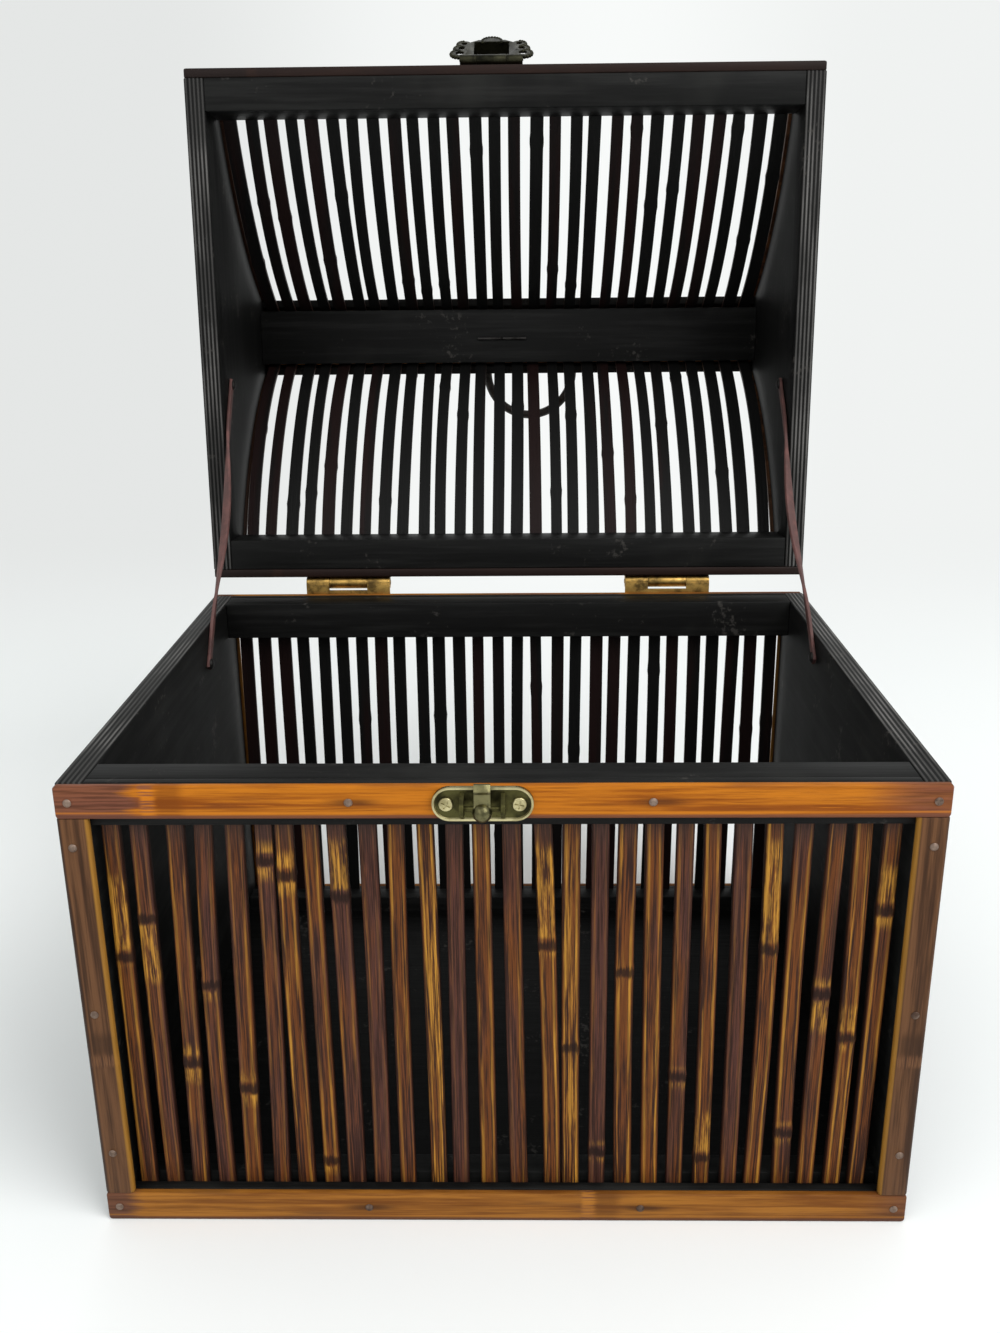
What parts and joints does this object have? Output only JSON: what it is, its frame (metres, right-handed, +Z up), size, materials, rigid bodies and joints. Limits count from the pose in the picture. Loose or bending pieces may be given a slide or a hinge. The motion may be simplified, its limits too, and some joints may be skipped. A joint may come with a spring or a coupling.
{
  "type": "hinged slatted keepsake box",
  "caption": "Rectangular chest of upright bamboo slats on a black carcass, with a hinged concave roof-shaped lid, brass hasp and latch, stay straps and a ring pull.",
  "frame": {"origin": "centre of the underside of the box", "axes": "+X to the right seen from the front, +Y to the back, where the hinges are, +Z up; the lid stands open"},
  "size_m": [0.305, 0.3964, 0.4506],
  "materials": {
    "black_wood": "matt black paint on plywood and battens",
    "burnt_slat": "split bamboo, scorched dark with golden edges, satin varnish",
    "sanded_bamboo": "scorched and sanded bamboo strip, honey orange, satin varnish",
    "nail_steel": "small domed nails, browned",
    "hinge_brass": "brass, dulled",
    "antique_brass": "antique greenish brass",
    "black_iron": "blackened iron",
    "strap_leather": "dark red-brown leather strip"
  },
  "bodies": {
    "box": {"side_panel_left": "black_wood", "side_panel_right": "black_wood", "bottom_panel": "black_wood", "front_top_batten": "black_wood", "front_bottom_batten": "black_wood", "front_slats": "burnt_slat", "front_top_fillet": "black_wood", "front_bottom_fillet": "black_wood", "front_top_trim": "sanded_bamboo", "front_bottom_trim": "sanded_bamboo", "front_left_post": "sanded_bamboo", "front_right_post": "sanded_bamboo", "front_nails": "nail_steel", "back_top_batten": "black_wood", "back_bottom_batten": "black_wood", "back_slats": "burnt_slat", "back_top_fillet": "black_wood", "back_bottom_fillet": "black_wood", "back_top_trim": "sanded_bamboo", "back_bottom_trim": "sanded_bamboo", "back_left_post": "sanded_bamboo", "back_right_post": "sanded_bamboo", "back_nails": "nail_steel", "hinge_box_leaves": "hinge_brass", "hinge_pins": "hinge_brass", "hinge_box_screws": "hinge_brass", "latch_plate": "antique_brass", "latch_screws": "antique_brass", "latch_pin": "antique_brass", "latch_spring": "antique_brass", "strap_left": "strap_leather", "strap_right": "strap_leather", "strap_box_tacks": "black_iron"},
    "lid": {"lid_end_left": "black_wood", "lid_end_right": "black_wood", "lid_crown_rail": "black_wood", "lid_crown_cap": "sanded_bamboo", "lid_crown_fillets": "black_wood", "lid_end_trims": "sanded_bamboo", "lid_nails": "nail_steel", "lid_front_batten": "black_wood", "lid_front_slats": "burnt_slat", "lid_front_rim_trim": "sanded_bamboo", "lid_front_eave_trim": "sanded_bamboo", "lid_front_eave_fillet": "black_wood", "lid_back_batten": "black_wood", "lid_back_slats": "burnt_slat", "lid_back_rim_trim": "sanded_bamboo", "lid_back_eave_trim": "sanded_bamboo", "lid_back_eave_fillet": "black_wood", "hinge_lid_leaves": "hinge_brass", "hinge_lid_screws": "hinge_brass", "hasp_leaf": "antique_brass", "hasp_pin": "antique_brass", "hasp_screws": "antique_brass", "ring_staple": "black_iron", "strap_lid_tacks": "black_iron"},
    "hasp": {"hasp_flap": "antique_brass"},
    "latch": {"latch_lever": "antique_brass"},
    "ring": {"ring_pull": "black_iron"}
  },
  "joints": [
    {"name": "lid_hinge", "type": "hinge", "parent": "box", "child": "lid", "pos_m": [0, 0.126, 0.187], "axis": [1, 0, 0], "range_deg": [0, 95], "deforming": ["strap_left", "strap_right"]},
    {"name": "hasp_hinge", "type": "hinge", "parent": "lid", "child": "hasp", "pos_m": [-0.006, 0.14993, 0.43757], "axis": [1, 0, 0], "range_deg": [0, 147]},
    {"name": "latch_pivot", "type": "hinge", "parent": "box", "child": "latch", "pos_m": [-0.006, -0.1277, 0.17585], "axis": [1, 0, 0], "range_deg": [0, 15], "stiffness_Nm_per_rad": 0.02, "springref_deg": -20.05},
    {"name": "ring_swing", "type": "hinge", "parent": "lid", "child": "ring", "pos_m": [-0.0033, 0.25869, 0.30047], "axis": [0.7604, 0.0566, 0.647], "range_deg": [-6, 90]}
  ]
}
